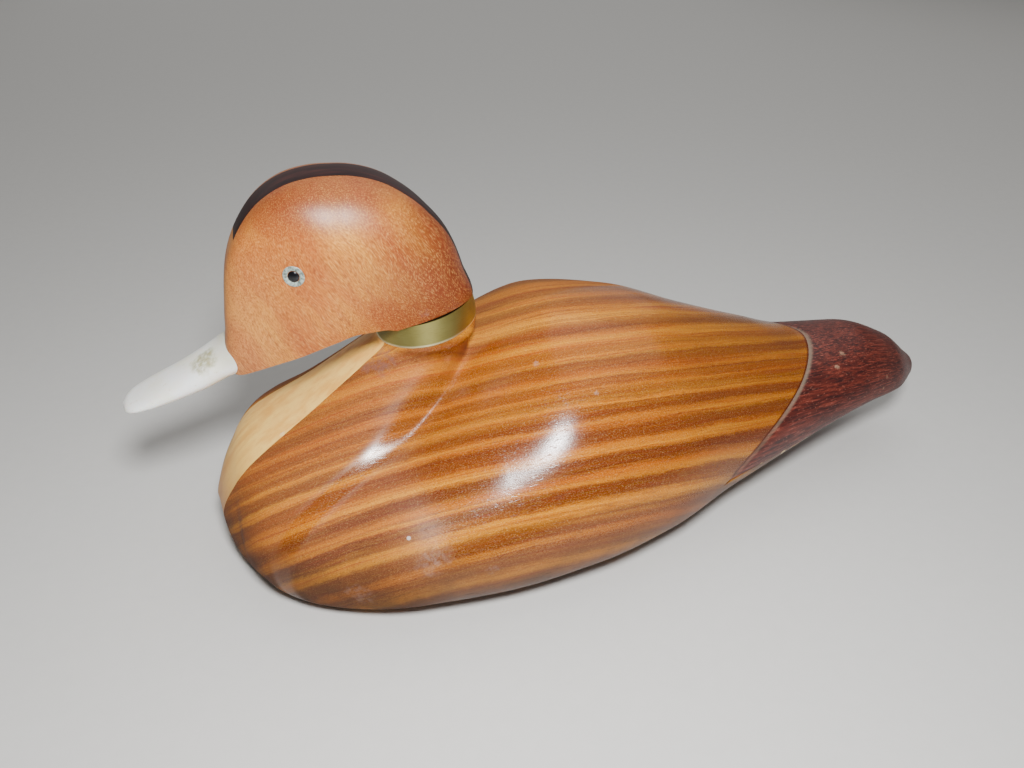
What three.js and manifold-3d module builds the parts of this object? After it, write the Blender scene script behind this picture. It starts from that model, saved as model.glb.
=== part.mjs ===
// Carved wooden duck, built up from several woods, with a metal neck ring and a bone bill.
// Millimetres. X runs from tail to bill, Y to the duck's left and Z up.
// The origin is on the surface it stands on, under the middle of the whole duck.
import * as THREE from 'three';
import { mergeVertices } from 'three/addons/utils/BufferGeometryUtils.js';
import Module from 'manifold-3d';

const wasm = await Module();
wasm.setup();

// Driving dimensions
const GAP = 0.3;
const REACH = 130;

// Trunk stations: place along X, top, bottom, half width, height of the widest line
const TRUNK = [
  [-95.0, 17.5, 16.5, 0.4, 17.0],
  [-94.0, 19.5, 16.5, 2.0, 17.1],
  [-91.0, 22.2, 16.5, 4.8, 17.4],
  [-84.0, 27.9, 16.5, 10.1, 18.3],
  [-72.0, 32.1, 15.5, 14.4, 19.4],
  [-60.0, 32.0, 12.3, 18.1, 19.6],
  [-46.0, 35.9, 8.1, 22.8, 19.4],
  [-30.0, 41.5, 3.5, 28.3, 18.9],
  [-12.0, 48.1, 0.3, 36.0, 17.9],
  [6.0, 50.7, -1.3, 40.1, 16.0],
  [24.0, 43.0, -2.5, 41.1, 14.0],
  [42.0, 33.6, -2.7, 40.0, 13.2],
  [56.0, 30.6, -3.4, 35.6, 11.3],
  [68.0, 27.3, 0.1, 28.2, 12.0],
  [76.0, 19.5, 8.9, 16.7, 14.0],
  [77.3, 14.2, 13.8, 1.0, 14.0],
];
const TRUNK_ROUND_UP = 1.9;
const TRUNK_ROUND_DOWN = 2.5;

// Neck and breast: the hull of a small ball in the neck and a large ball in the breast
const NECK_BALL = { x: 28.4, z: 51.3, r: 5.4, wide: 1.15 };
const BREAST_BALL = { x: 59.4, z: 10.7, r: 21.9, wide: 1.25 };

// The crease between them is tight behind the neck and fades out toward the breast
const VALLEY = { blend: 4.5, from: 28, spread: 0.0055, length: 37 };

// Oval stem that carries the ring and the head: wider going down to its low end, then
// drawn in to die away in the neck, with its front cut back into the throat
const STEM = { x: 33.6, z: 52, halfLength: 10.2, halfWidth: 9.9, flare: 0.3, blend: 3 };
const STEM_LOW = { z: 48.3, drawnIn: 0.55 };
const STEM_FRONT = { x: 43.9, z: 48.2, lean: 0.72, blend: 1.5 };

// Ring faces, given by their height at the back of the stem and their fall per mm forward
const STEM_BACK = 23.4;
const RING_LOW = { z: 50.5, fall: 0.11 };
const RING_TOP = { z: 56.1, fall: 0.178 };

// Where the section planes stop being upright and start to fan forward up the neck
const FAN = { x: 14, z: 52, lift: 8, last: 1.51 };
const FORM_ROWS = { trunk: 26, fan: 32 };
const FORM_SIDES = 38;

// Breast panel: two flat joints that meet in the middle plane where x + z is this much,
// and the half width that the panel gains for each mm of x + z beyond it
const PANEL = { meet: 82.7, flare: 0.605 };

// Tail seam: bowed in plan, leaning forward going down, with a shelf of body wood under it
const TAIL_SEAM = { x: -59.5, bow: 0.06, power: 1.7, lean: 0.88, z: 32 };
const TAIL_SHELF = { x: -30, z: 15.5, rise: 0.03, end: -54 };

// Head outline in side view: angle in degrees and radius about the middle of the head
const HEAD = { x: 48, z: 66, halfWidth: 12.9, frontHalfWidth: 8.2, round: 2.6, blunt: 1.4 };
const CHEEK = { taper: 24, drawnIn: 0.18, height: 22, from: 38 };
const HEAD_OUTLINE = [
  [-90, 24], [-66, 29], [-50, 33.5], [-39, 32.4], [-23.4, 26.9], [-10.2, 24.1], [4.5, 22.5],
  [26, 20.9], [42, 20.1], [57, 19.2], [72, 18.2], [90, 17.4], [107, 17.2], [127, 17.3],
  [150, 18.2], [170, 20.3], [190, 23.1], [204, 27], [216, 28], [240, 25],
];
const HEAD_SIDES = 48;
const HEAD_LAYERS = 20;
const STRIP_HALF = 3.5;
// The strip stops at the forehead, and in front of it the cheeks meet
const STRIP_END = 68;

// Underside of the head: along the ring, then an arched throat out to the bill
const THROAT = [[40.4, 53.1], [43, 53.9], [48, 54.1], [53, 53.0], [60, 50.3], [68, 47.0], [80, 41.5]];

// Bill stations: place along X, top, bottom, half width
const BILL = [
  [66.0, 55.0, 46.0, 5.5],
  [74.0, 51.4, 44.0, 5.8],
  [78.0, 48.8, 42.4, 5.9],
  [83.0, 46.0, 41.0, 5.8],
  [88.0, 43.6, 39.9, 5.7],
  [92.0, 41.7, 39.2, 5.0],
  [94.2, 40.6, 38.9, 3.4],
  [95.0, 39.9, 39.2, 0.8],
];
const BILL_ROUND = 2.3;

// Eyes: an inlaid pale ring round a domed pupil
const EYE = { x: 58.4, z: 67.9, radius: 2.05, pupil: 1.1, depth: 3, proud: 0.25 };

const WOODS = {
  golden: new THREE.MeshStandardMaterial({ color: 0xa8681f, roughness: 0.3, metalness: 0 }),
  pale: new THREE.MeshStandardMaterial({ color: 0xc79a63, roughness: 0.45, metalness: 0 }),
  reddish: new THREE.MeshStandardMaterial({ color: 0xb0623a, roughness: 0.38, metalness: 0 }),
  dark: new THREE.MeshStandardMaterial({ color: 0x2a1420, roughness: 0.35, metalness: 0 }),
  maroon: new THREE.MeshStandardMaterial({ color: 0x5a1f1c, roughness: 0.5, metalness: 0 }),
};
const BRASS = new THREE.MeshStandardMaterial({ color: 0x8f8440, roughness: 0.4, metalness: 0.9 });
const BONE = new THREE.MeshStandardMaterial({ color: 0xe9e4d2, roughness: 0.35, metalness: 0 });
const SHELL = new THREE.MeshStandardMaterial({ color: 0xb9c4bb, roughness: 0.3, metalness: 0 });
const JET = new THREE.MeshStandardMaterial({ color: 0x0c0c10, roughness: 0.12, metalness: 0 });

// Smooth curve through stations that never overshoots them
function curveThrough(rows, column) {
  const x = rows.map((row) => row[0]);
  const y = rows.map((row) => row[column]);
  const step = x.slice(1).map((value, i) => value - x[i]);
  const slope = step.map((width, i) => (y[i + 1] - y[i]) / width);
  const tangent = x.map((value, i) => {
    if (i === 0 || i === x.length - 1) return slope[Math.min(i, slope.length - 1)];
    if (slope[i - 1] * slope[i] <= 0) return 0;
    const before = 2 * step[i] + step[i - 1];
    const after = step[i] + 2 * step[i - 1];
    return (before + after) / (before / slope[i - 1] + after / slope[i]);
  });
  return (place) => {
    const p = Math.min(Math.max(place, x[0]), x[x.length - 1]);
    let i = 0;
    while (i < step.length - 1 && p > x[i + 1]) i += 1;
    const t = (p - x[i]) / step[i];
    const start = (1 + 2 * t) * (1 - t) ** 2 * y[i] + t * (1 - t) ** 2 * step[i] * tangent[i];
    const end = t * t * (3 - 2 * t) * y[i + 1] + t * t * (t - 1) * step[i] * tangent[i + 1];
    return start + end;
  };
}

const clamp01 = (t) => Math.min(Math.max(t, 0), 1);
const ease = (t) => clamp01(t) ** 2 * (3 - 2 * clamp01(t));

function blend(a, b, width) {
  const h = Math.max(width - Math.abs(a - b), 0) / width;
  return Math.min(a, b) - (h ** 3 * width) / 6;
}

const trunkTop = curveThrough(TRUNK, 1);
const trunkBottom = curveThrough(TRUNK, 2);
const trunkHalfWidth = curveThrough(TRUNK, 3);
const trunkWaist = curveThrough(TRUNK, 4);

// How far a point lies outside the trunk, negative inside
function trunkField(x, y, z) {
  const place = Math.min(Math.max(x, TRUNK[0][0]), TRUNK[TRUNK.length - 1][0]);
  const waist = trunkWaist(place);
  const up = z >= waist;
  const height = Math.max(up ? trunkTop(place) - waist : waist - trunkBottom(place), 0.2);
  const power = up ? TRUNK_ROUND_UP : TRUNK_ROUND_DOWN;
  const across = Math.abs(y);
  const above = Math.abs(z - waist);
  const ratio = (across / trunkHalfWidth(place)) ** power + (above / height) ** power;
  const shell = Math.max(ratio ** (1 / power), 1e-6);
  return Math.hypot(across, above) * (1 - 1 / shell) + Math.abs(x - place);
}

// How far a point lies outside the hull of the neck and breast balls
function neckField(x, y, z) {
  const run = Math.hypot(BREAST_BALL.x - NECK_BALL.x, BREAST_BALL.z - NECK_BALL.z);
  const ux = (BREAST_BALL.x - NECK_BALL.x) / run;
  const uz = (BREAST_BALL.z - NECK_BALL.z) / run;
  const along = (x - NECK_BALL.x) * ux + (z - NECK_BALL.z) * uz;
  const aside = (z - NECK_BALL.z) * ux - (x - NECK_BALL.x) * uz;
  const wide = NECK_BALL.wide + (BREAST_BALL.wide - NECK_BALL.wide) * ease(along / run);
  const out = Math.hypot(aside, y / wide);
  const spread = (NECK_BALL.r - BREAST_BALL.r) / run;
  const flank = Math.sqrt(1 - spread * spread);
  const key = along * flank - out * spread;
  if (key < 0) return Math.hypot(out, along) - NECK_BALL.r;
  if (key > flank * run) return Math.hypot(out, along - run) - BREAST_BALL.r;
  return out * flank + along * spread - NECK_BALL.r;
}

// How far a point lies outside the stem
function stemField(x, y, z) {
  const halfWidth = STEM.halfWidth + STEM.flare * (STEM.z - Math.max(z, STEM_LOW.z));
  const round = (Math.hypot((x - STEM.x) / STEM.halfLength, y / halfWidth) - 1) * STEM.halfWidth;
  const ahead = x - STEM_FRONT.x + STEM_FRONT.lean * (z - STEM_FRONT.z);
  const trimmed = -blend(-round, -ahead / Math.hypot(1, STEM_FRONT.lean), STEM_FRONT.blend);
  return trimmed + STEM_LOW.drawnIn * Math.max(STEM_LOW.z - z, 0);
}

function formField(x, y, z) {
  const forward = Math.min(Math.max(x - VALLEY.from, 0), VALLEY.length);
  const width = VALLEY.blend + VALLEY.spread * forward * forward;
  const carved = blend(trunkField(x, y, z), neckField(x, y, z), width);
  return blend(carved, stemField(x, y, z), STEM.blend);
}

// Distance along a ray, from inside, to where the field turns positive
function reachOut(field, limit) {
  let inside = 0;
  let outside = 1;
  while (outside < limit && field(outside) < 0) {
    inside = outside;
    outside += 1;
  }
  for (let i = 0; i < 24; i += 1) {
    const middle = (inside + outside) / 2;
    if (field(middle) < 0) inside = middle;
    else outside = middle;
  }
  return (inside + outside) / 2;
}

// Closed surface from rings of points, with a single point at each end
function skinOfRings(rings, first, last) {
  const sides = rings[0].length;
  const points = [first, ...rings.flat(), last];
  const at = (row, side) => 1 + row * sides + (side % sides);
  const faces = [];
  for (let side = 0; side < sides; side += 1) {
    faces.push(0, at(0, side + 1), at(0, side));
    faces.push(points.length - 1, at(rings.length - 1, side), at(rings.length - 1, side + 1));
    for (let row = 0; row + 1 < rings.length; row += 1) {
      faces.push(at(row, side), at(row, side + 1), at(row + 1, side + 1));
      faces.push(at(row, side), at(row + 1, side + 1), at(row + 1, side));
    }
  }
  const geometry = new THREE.BufferGeometry();
  geometry.setAttribute('position', new THREE.Float32BufferAttribute(points.flat(), 3));
  geometry.setIndex(faces);
  return geometry;
}

// The whole carved form of body, neck stem and tail, before it is cut into pieces
function formGeometry() {
  const planes = [];
  const tailEnd = TRUNK[0][0];
  for (let i = 0; i < FORM_ROWS.trunk; i += 1) {
    const t = (i + 0.5) / FORM_ROWS.trunk;
    const x = tailEnd + (FAN.x - tailEnd) * (0.55 * t + 0.45 * (1 - Math.cos((t * Math.PI) / 2)));
    planes.push({ x, z: FAN.z, angle: 0 });
  }
  for (let i = 1; i <= FORM_ROWS.fan; i += 1) {
    const t = i / FORM_ROWS.fan;
    planes.push({ x: FAN.x, z: FAN.z + FAN.lift * ease((t - 0.75) / 0.25), angle: FAN.last * t });
  }
  const rings = planes.map(({ x, z, angle }) => {
    const dx = Math.sin(angle);
    const dz = -Math.cos(angle);
    const onLine = (t) => formField(x + t * dx, 0, z + t * dz);
    let near = 0;
    while (onLine(near) >= 0) near += 0.5;
    let far = near;
    while (onLine(far) < 0) far += 0.5;
    const middle = (near + far) / 2;
    const cx = x + middle * dx;
    const cz = z + middle * dz;
    const wide = reachOut((r) => formField(cx, r, cz), REACH);
    const tall = (far - near) / 2;
    const ring = [];
    for (let side = 0; side < FORM_SIDES; side += 1) {
      const turn = (side * 2 * Math.PI) / FORM_SIDES;
      const size = Math.hypot(tall * Math.cos(turn), wide * Math.sin(turn));
      const along = (tall * Math.cos(turn)) / size;
      const across = (wide * Math.sin(turn)) / size;
      const field = (r) => formField(cx + r * along * dx, r * across, cz + r * along * dz);
      const r = reachOut(field, REACH);
      ring.push([cx + r * along * dx, r * across, cz + r * along * dz]);
    }
    return { ring, centre: [cx, 0, cz] };
  });
  const last = rings[rings.length - 1];
  const first = [tailEnd, 0, TRUNK[0][4]];
  return skinOfRings(rings.map((row) => row.ring), first, last.centre);
}

const headRadius = curveThrough(
  [...HEAD_OUTLINE.slice(-3).map(([a, r]) => [a - 360, r]), ...HEAD_OUTLINE,
    ...HEAD_OUTLINE.slice(0, 3).map(([a, r]) => [a + 360, r])], 1);

const ringHeight = (face, x) => face.z - face.fall * (x - STEM_BACK);

// Half width of the flat of the cheek: narrower at the bill and drawn in to the ring
function cheekHalfWidth(x, z) {
  const taper = ease((x - HEAD.x) / CHEEK.taper);
  const flat = HEAD.halfWidth + (HEAD.frontHalfWidth - HEAD.halfWidth) * taper;
  const low = 1 - ease((z - ringHeight(RING_TOP, x) + 1) / CHEEK.height);
  const behind = 1 - ease((x - CHEEK.from) / CHEEK.taper);
  return flat * (1 - CHEEK.drawnIn * low * behind);
}

function headGeometry(grow) {
  const rings = [];
  for (let layer = 1; layer < HEAD_LAYERS; layer += 1) {
    const turn = (Math.PI * layer) / HEAD_LAYERS;
    const ring = [];
    for (let i = 0; i < HEAD_SIDES; i += 1) {
      const angle = (360 * i) / HEAD_SIDES - 90;
      const toBill = Math.cos(THREE.MathUtils.degToRad(angle));
      const toCrown = Math.sin(THREE.MathUtils.degToRad(angle));
      const power = 2 / (HEAD.round + HEAD.blunt * ease(toBill));
      const radius = Math.sin(turn) ** power * (headRadius(angle) + grow);
      const side = Math.sign(Math.cos(turn)) * Math.abs(Math.cos(turn)) ** power;
      const x = HEAD.x + radius * toBill;
      const z = HEAD.z + radius * toCrown;
      ring.push([x, side * (cheekHalfWidth(x, z) + grow), z]);
    }
    rings.push(ring);
  }
  const middle = cheekHalfWidth(HEAD.x, HEAD.z) + grow;
  return skinOfRings(rings, [HEAD.x, middle, HEAD.z], [HEAD.x, -middle, HEAD.z]);
}

function billGeometry() {
  const [top, bottom, wide] = [1, 2, 3].map((column) => curveThrough(BILL, column));
  const root = BILL[0][0];
  const tip = BILL[BILL.length - 1][0];
  const rings = [];
  const rows = 14;
  const sides = 22;
  for (let row = 0; row < rows; row += 1) {
    const x = root + (tip - root) * Math.sin((row / (rows - 1)) * Math.PI / 2);
    const ring = [];
    for (let i = 0; i < sides; i += 1) {
      const turn = (i * 2 * Math.PI) / sides;
      const c = Math.cos(turn);
      const s = Math.sin(turn);
      const y = Math.sign(s) * Math.abs(s) ** (2 / BILL_ROUND) * wide(x);
      const lift = Math.sign(c) * Math.abs(c) ** (2 / BILL_ROUND) * (top(x) - bottom(x)) / 2;
      ring.push([x, y, (top(x) + bottom(x)) / 2 - lift]);
    }
    rings.push(ring);
  }
  const middle = (x) => [x, 0, (top(x) + bottom(x)) / 2];
  return skinOfRings(rings, middle(root), middle(tip));
}

// Straight prism along Y from a closed outline in side view
function sidePrism(outline, from, to) {
  const shape = new THREE.Shape(outline.map(([x, z]) => new THREE.Vector2(x, z)));
  const geometry = new THREE.ExtrudeGeometry(shape, { depth: to - from, bevelEnabled: false });
  return geometry.rotateX(Math.PI / 2).translate(0, to, 0);
}

function toSolid(geometry) {
  const bare = geometry.clone();
  bare.deleteAttribute('normal');
  bare.deleteAttribute('uv');
  const merged = mergeVertices(bare, 1e-5);
  return new wasm.Manifold(new wasm.Mesh({
    numProp: 3,
    vertProperties: new Float32Array(merged.attributes.position.array),
    triVerts: new Uint32Array(merged.index.array),
  }));
}

const prismSolid = (outline, from = -REACH, to = REACH) => toSolid(sidePrism(outline, from, to));

// Everything below a ring face, and everything above it
function belowFace(face, shift) {
  const edge = [-REACH, REACH].map((x) => [x, ringHeight(face, x) + shift]);
  return prismSolid([[-REACH, -REACH], [REACH, -REACH], edge[1], edge[0]]);
}

function aboveFloor() {
  return prismSolid([[-REACH, 0], [REACH, 0], [REACH, REACH], [-REACH, REACH]]);
}

// The wedge between the two flat joints of the breast panel
function panelRegion(grow) {
  const slant = PANEL.flare * Math.SQRT2;
  const apex = PANEL.meet / Math.SQRT2 - (grow * Math.hypot(1, slant)) / slant;
  const wide = (REACH - apex) * slant;
  const corners = [[apex, 0], [REACH, -wide], [REACH, wide]];
  const triangle = new THREE.Shape(corners.map(([u, y]) => new THREE.Vector2(u, y)));
  const wedge = new THREE.ExtrudeGeometry(triangle, { depth: 2 * REACH, bevelEnabled: false });
  return toSolid(wedge.translate(0, 0, -REACH).rotateY(-Math.PI / 4));
}

// The region behind the tail seam and over its shelf
function tailRegion(grow) {
  const edge = [];
  for (let i = 0; i <= 40; i += 1) {
    const y = 40 - 2 * i;
    edge.push(new THREE.Vector2(TAIL_SEAM.x + grow + TAIL_SEAM.bow * Math.abs(y) ** TAIL_SEAM.power, y));
  }
  const plan = new THREE.Shape([new THREE.Vector2(-REACH, 40), new THREE.Vector2(-REACH, -40),
    ...edge.reverse()]);
  const lean = new THREE.Matrix4().makeShear(0, 0, 0, 0, -TAIL_SEAM.lean, 0);
  const wedge = new THREE.ExtrudeGeometry(plan, { depth: 2 * TAIL_SEAM.z, bevelEnabled: false });
  wedge.translate(0, 0, -TAIL_SEAM.z).applyMatrix4(lean).translate(0, 0, TAIL_SEAM.z);
  const shelf = (x) => TAIL_SHELF.z + TAIL_SHELF.rise * (TAIL_SHELF.x - x) - grow;
  const end = TAIL_SHELF.end + grow;
  const over = prismSolid([[-REACH, 0], [end - 4, 0], [end, shelf(end)], [REACH, shelf(REACH)],
    [REACH, REACH], [-REACH, REACH]]);
  return toSolid(wedge).intersect(over);
}

// The region over the head's underside
function overThroat() {
  const arch = new THREE.SplineCurve(THROAT.map(([x, z]) => new THREE.Vector2(x, z)));
  const line = arch.getPoints(30).map((point) => [point.x, point.y]);
  const back = [0, ringHeight(RING_TOP, 0)];
  return prismSolid([back, ...line, [REACH, line[30][1]], [REACH, REACH], [0, REACH]]);
}

function eyePlug(side, radius, from, to) {
  const plug = new THREE.CylinderGeometry(radius, radius, to - from, 24);
  return plug.translate(EYE.x, side * (from + to) / 2, EYE.z);
}

function addPiece(group, name, solid, material) {
  const result = solid.getMesh();
  const geometry = new THREE.BufferGeometry();
  geometry.setAttribute('position', new THREE.BufferAttribute(result.vertProperties, 3));
  geometry.setIndex(new THREE.BufferAttribute(result.triVerts, 1));
  geometry.computeVertexNormals();
  const mesh = new THREE.Mesh(geometry, material);
  mesh.name = name;
  group.add(mesh);
}

function addBody(group) {
  const form = toSolid(formGeometry()).intersect(aboveFloor());
  const trunk = form.intersect(belowFace(RING_LOW, 0));
  const rest = trunk.subtract(tailRegion(GAP / 2));
  addPiece(group, 'body', rest.subtract(panelRegion(GAP / 2)), WOODS.golden);
  addPiece(group, 'breast_panel', rest.intersect(panelRegion(-GAP / 2)), WOODS.pale);
  addPiece(group, 'tail', trunk.intersect(tailRegion(-GAP / 2)), WOODS.maroon);
  const ring = form.subtract(belowFace(RING_LOW, GAP)).intersect(belowFace(RING_TOP, -GAP));
  addPiece(group, 'neck_ring', ring, BRASS);
}

function addHead(group) {
  const head = toSolid(headGeometry(0)).intersect(overThroat());
  const block = (end, from, to) =>
    prismSolid([[0, 0], [end, 0], [end, REACH], [0, REACH]], from, to);
  const strip = head.intersect(block(STRIP_END, -STRIP_HALF, STRIP_HALF));
  addPiece(group, 'crown_strip', strip, WOODS.dark);
  const inner = STRIP_HALF + GAP;
  const slot = block(STRIP_END + GAP, -inner, inner);
  const bill = toSolid(billGeometry()).subtract(toSolid(headGeometry(GAP)));
  addPiece(group, 'bill', bill, BONE);
  for (const [side, hand] of [[1, 'left'], [-1, 'right']]) {
    const half = side > 0 ? block(REACH, GAP / 2, REACH) : block(REACH, -REACH, -GAP / 2);
    const face = cheekHalfWidth(EYE.x, EYE.z);
    const bore = toSolid(eyePlug(side, EYE.radius + GAP, face - EYE.depth - GAP, REACH));
    addPiece(group, `cheek_${hand}`, head.intersect(half).subtract(slot).subtract(bore), WOODS.reddish);
    const outer = face + EYE.proud;
    const ring = toSolid(eyePlug(side, EYE.radius, face - EYE.depth, outer));
    const hole = toSolid(eyePlug(side, EYE.pupil + GAP, face - EYE.depth - 1, REACH));
    addPiece(group, `eye_ring_${hand}`, ring.subtract(hole), SHELL);
    addPiece(group, `pupil_${hand}`, toSolid(eyePlug(side, EYE.pupil, face - EYE.depth, outer)), JET);
  }
}

const duck = new THREE.Group();
addBody(duck);
addHead(duck);

export default duck;
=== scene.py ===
"""Carved wooden duck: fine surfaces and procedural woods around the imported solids.

Shapes are worked out in millimetres, X from tail to bill, Y to the duck's left, Z up,
and turned into metres where a mesh is made.
"""
import math

import bpy
import numpy as np
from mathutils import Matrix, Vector


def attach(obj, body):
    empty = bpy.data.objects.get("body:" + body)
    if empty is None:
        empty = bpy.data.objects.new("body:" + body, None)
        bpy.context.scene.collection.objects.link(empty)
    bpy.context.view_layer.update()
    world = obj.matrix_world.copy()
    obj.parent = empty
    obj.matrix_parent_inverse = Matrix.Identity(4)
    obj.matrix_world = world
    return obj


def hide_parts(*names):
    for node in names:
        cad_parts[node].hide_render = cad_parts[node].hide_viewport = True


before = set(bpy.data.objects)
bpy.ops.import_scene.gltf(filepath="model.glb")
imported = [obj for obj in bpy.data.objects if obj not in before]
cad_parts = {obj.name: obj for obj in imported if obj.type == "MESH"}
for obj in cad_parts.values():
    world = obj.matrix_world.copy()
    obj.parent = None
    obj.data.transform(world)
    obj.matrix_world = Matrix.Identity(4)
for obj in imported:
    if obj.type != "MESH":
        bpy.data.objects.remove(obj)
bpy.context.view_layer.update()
MM = 0.001

# Trunk stations: place along X, top, bottom, half width, height of the widest line
TRUNK = np.array([
    [-95.0, 17.5, 16.5, 0.4, 17.0],
    [-94.0, 19.5, 16.5, 2.0, 17.1],
    [-91.0, 22.2, 16.5, 4.8, 17.4],
    [-84.0, 27.9, 16.5, 10.1, 18.3],
    [-72.0, 32.1, 15.5, 14.4, 19.4],
    [-60.0, 32.0, 12.3, 18.1, 19.6],
    [-46.0, 35.9, 8.1, 22.8, 19.4],
    [-30.0, 41.5, 3.5, 28.3, 18.9],
    [-12.0, 48.1, 0.3, 36.0, 17.9],
    [6.0, 50.7, -1.3, 40.1, 16.0],
    [24.0, 43.0, -2.5, 41.1, 14.0],
    [42.0, 33.6, -2.7, 40.0, 13.2],
    [56.0, 30.6, -3.4, 35.6, 11.3],
    [68.0, 27.3, 0.1, 28.2, 12.0],
    [76.0, 19.5, 8.9, 16.7, 14.0],
    [77.3, 14.2, 13.8, 1.0, 14.0],
])
# Power of the trunk's sections above and below the widest line, and their least height
TRUNK_ROUND_UP = 1.9
TRUNK_ROUND_DOWN = 2.5
TRUNK_LEAST = 0.2

# Two balls whose hull is the neck and breast, and how much wider than deep they are
NECK_BALL = dict(x=28.4, z=51.3, r=5.4, wide=1.15)
BREAST_BALL = dict(x=59.4, z=10.7, r=21.9, wide=1.25)
# Width of the fillet between trunk and neck, which grows toward the breast
VALLEY = dict(blend=4.5, start=28, spread=0.0055, length=37)
# The oval stem under the ring, drawn in low down and cut back in front
STEM = dict(x=33.6, z=52, half_length=10.2, half_width=9.9, flare=0.3, blend=3)
STEM_LOW = dict(z=48.3, drawn_in=0.55)
STEM_FRONT = dict(x=43.9, z=48.2, lean=0.72, blend=1.5)

# The ring's two faces, as a height at the back of the stem and a fall toward the bill
STEM_BACK = 23.4
RING_LOW = dict(z=50.5, fall=0.11)
RING_TOP = dict(z=56.1, fall=0.178)

# Upright planes along the trunk, then planes that fan up the neck about a pivot, which is
# lifted over the last of them
ROWS = dict(trunk=150, fan=140, sides=208, first=0.3, bunched=0.45, top=60.0, step=0.1)
FAN = dict(x=14, z=52, lift=8, lift_from=0.75, last=1.51)

# The breast panel's two flat joints, the tail's bowed seam, its shelf and the hollow along it
PANEL = dict(meet=82.7, flare=0.605)
TAIL_SEAM = dict(x=-59.5, bow=0.06, power=1.7, lean=0.88, z=32, side=40, points=240)
TAIL_SHELF = dict(x=-30, z=15.5, rise=0.03, end=-54, slope=4)
TAIL_COVE = dict(depth=0.9, width=1.5, ahead=6, low=12, fade=6)

# Head: its middle, half widths and roundness, and how the cheeks narrow
HEAD = dict(x=48, z=66, half_width=12.9, front_half_width=8.2, round=2.6, blunt=1.4)
CHEEK = dict(taper=24, drawn_in=0.18, height=22, below=1, start=38)
# Outline of the head in side view: degrees up from level with the bill ahead, and radius
HEAD_OUTLINE = np.array([
    [-90, 24], [-66, 29], [-50, 33.5], [-39, 32.4], [-23.4, 26.9], [-10.2, 24.1], [4.5, 22.5],
    [26, 20.9], [42, 20.1], [57, 19.2], [72, 18.2], [90, 17.4], [107, 17.2], [127, 17.3],
    [150, 18.2], [170, 20.3], [190, 23.1], [204, 27], [216, 28], [240, 25],
])
HEAD_SIDES = 240
HEAD_LAYERS = 150
# The strip stops at the forehead, and in front of it the cheeks meet
STRIP_HALF = 3.5
STRIP_END = 68
# Arch of the head's underside in side view
THROAT = np.array([[40.4, 53.1], [43, 53.9], [48, 54.1], [53, 53.0], [60, 50.3], [68, 47.0],
                   [80, 41.5]])
THROAT_POINTS = 90

# Bill stations: place along X, top, bottom, half width
BILL = np.array([
    [66.0, 55.0, 46.0, 5.5],
    [74.0, 51.4, 44.0, 5.8],
    [78.0, 48.8, 42.4, 5.9],
    [83.0, 46.0, 41.0, 5.8],
    [88.0, 43.6, 39.9, 5.7],
    [92.0, 41.7, 39.2, 5.0],
    [94.2, 40.6, 38.9, 3.4],
    [95.0, 39.9, 39.2, 0.8],
])
BILL_ROUND = 2.3

# Eye: place, radii of ring and pupil, depth let in, height it stands proud, the ring's
# rounded rim and inner bevel, the pupil's dome, a core that closes each end, points round
# it, and the step over which the slope of the cheek is taken
EYE = dict(x=58.4, z=67.9, radius=2.05, pupil=1.1, depth=0.8, proud=0.12, rim=0.2,
           bevel=0.1, dome=0.32, core=0.02, sides=64, probe=0.5)

# Half the hairline that shows between two glued pieces
SEAM = 0.03
# Farther than any point of the duck
REACH = 130
# Edges turned by more degrees than this stay sharp
SHARP = 35
EYE_SHARP = 50
# How often a step is halved to find where a field turns positive
HALVINGS = 22


# Shapes

def curve_through(rows, column):
    """Monotone cubic through the stations: Hermite pieces with harmonic mean slopes."""
    x, y = rows[:, 0], rows[:, column]
    step = np.diff(x)
    slope = np.diff(y) / step
    before = 2 * step[1:] + step[:-1]
    after = step[1:] + 2 * step[:-1]
    turning = slope[:-1] * slope[1:] <= 0
    safe = np.where(turning, 1.0, slope[:-1]), np.where(turning, 1.0, slope[1:])
    mean = (before + after) / (before / safe[0] + after / safe[1])
    tangent = np.concatenate([slope[:1], np.where(turning, 0.0, mean), slope[-1:]])

    def value(place):
        p = np.clip(place, x[0], x[-1])
        i = np.clip(np.searchsorted(x, p, side="left") - 1, 0, len(step) - 1)
        t = (p - x[i]) / step[i]
        start = (1 + 2 * t) * (1 - t) ** 2 * y[i] + t * (1 - t) ** 2 * step[i] * tangent[i]
        end = t * t * (3 - 2 * t) * y[i + 1] + t * t * (t - 1) * step[i] * tangent[i + 1]
        return start + end

    return value


def ease(t):
    """Smooth step: 3 t^2 - 2 t^3 with t held between 0 and 1."""
    t = np.clip(t, 0, 1)
    return t * t * (3 - 2 * t)


def blend(a, b, width):
    """Smaller of two fields, less a cubic fillet where they are within width of each other."""
    h = np.maximum(width - np.abs(a - b), 0) / width
    return np.minimum(a, b) - h ** 3 * width / 6


trunk_top, trunk_bottom, trunk_half_width, trunk_waist = (
    curve_through(TRUNK, column) for column in (1, 2, 3, 4))


def trunk_field(x, y, z):
    """Distance outside a superellipse section whose sizes follow the trunk stations."""
    place = np.clip(x, TRUNK[0, 0], TRUNK[-1, 0])
    waist = trunk_waist(place)
    up = z >= waist
    height = np.maximum(np.where(up, trunk_top(place) - waist, waist - trunk_bottom(place)),
                        TRUNK_LEAST)
    power = np.where(up, TRUNK_ROUND_UP, TRUNK_ROUND_DOWN)
    across, above = np.abs(y), np.abs(z - waist)
    ratio = (across / trunk_half_width(place)) ** power + (above / height) ** power
    shell = np.maximum(ratio ** (1 / power), 1e-6)
    return np.hypot(across, above) * (1 - 1 / shell) + np.abs(x - place)


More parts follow.
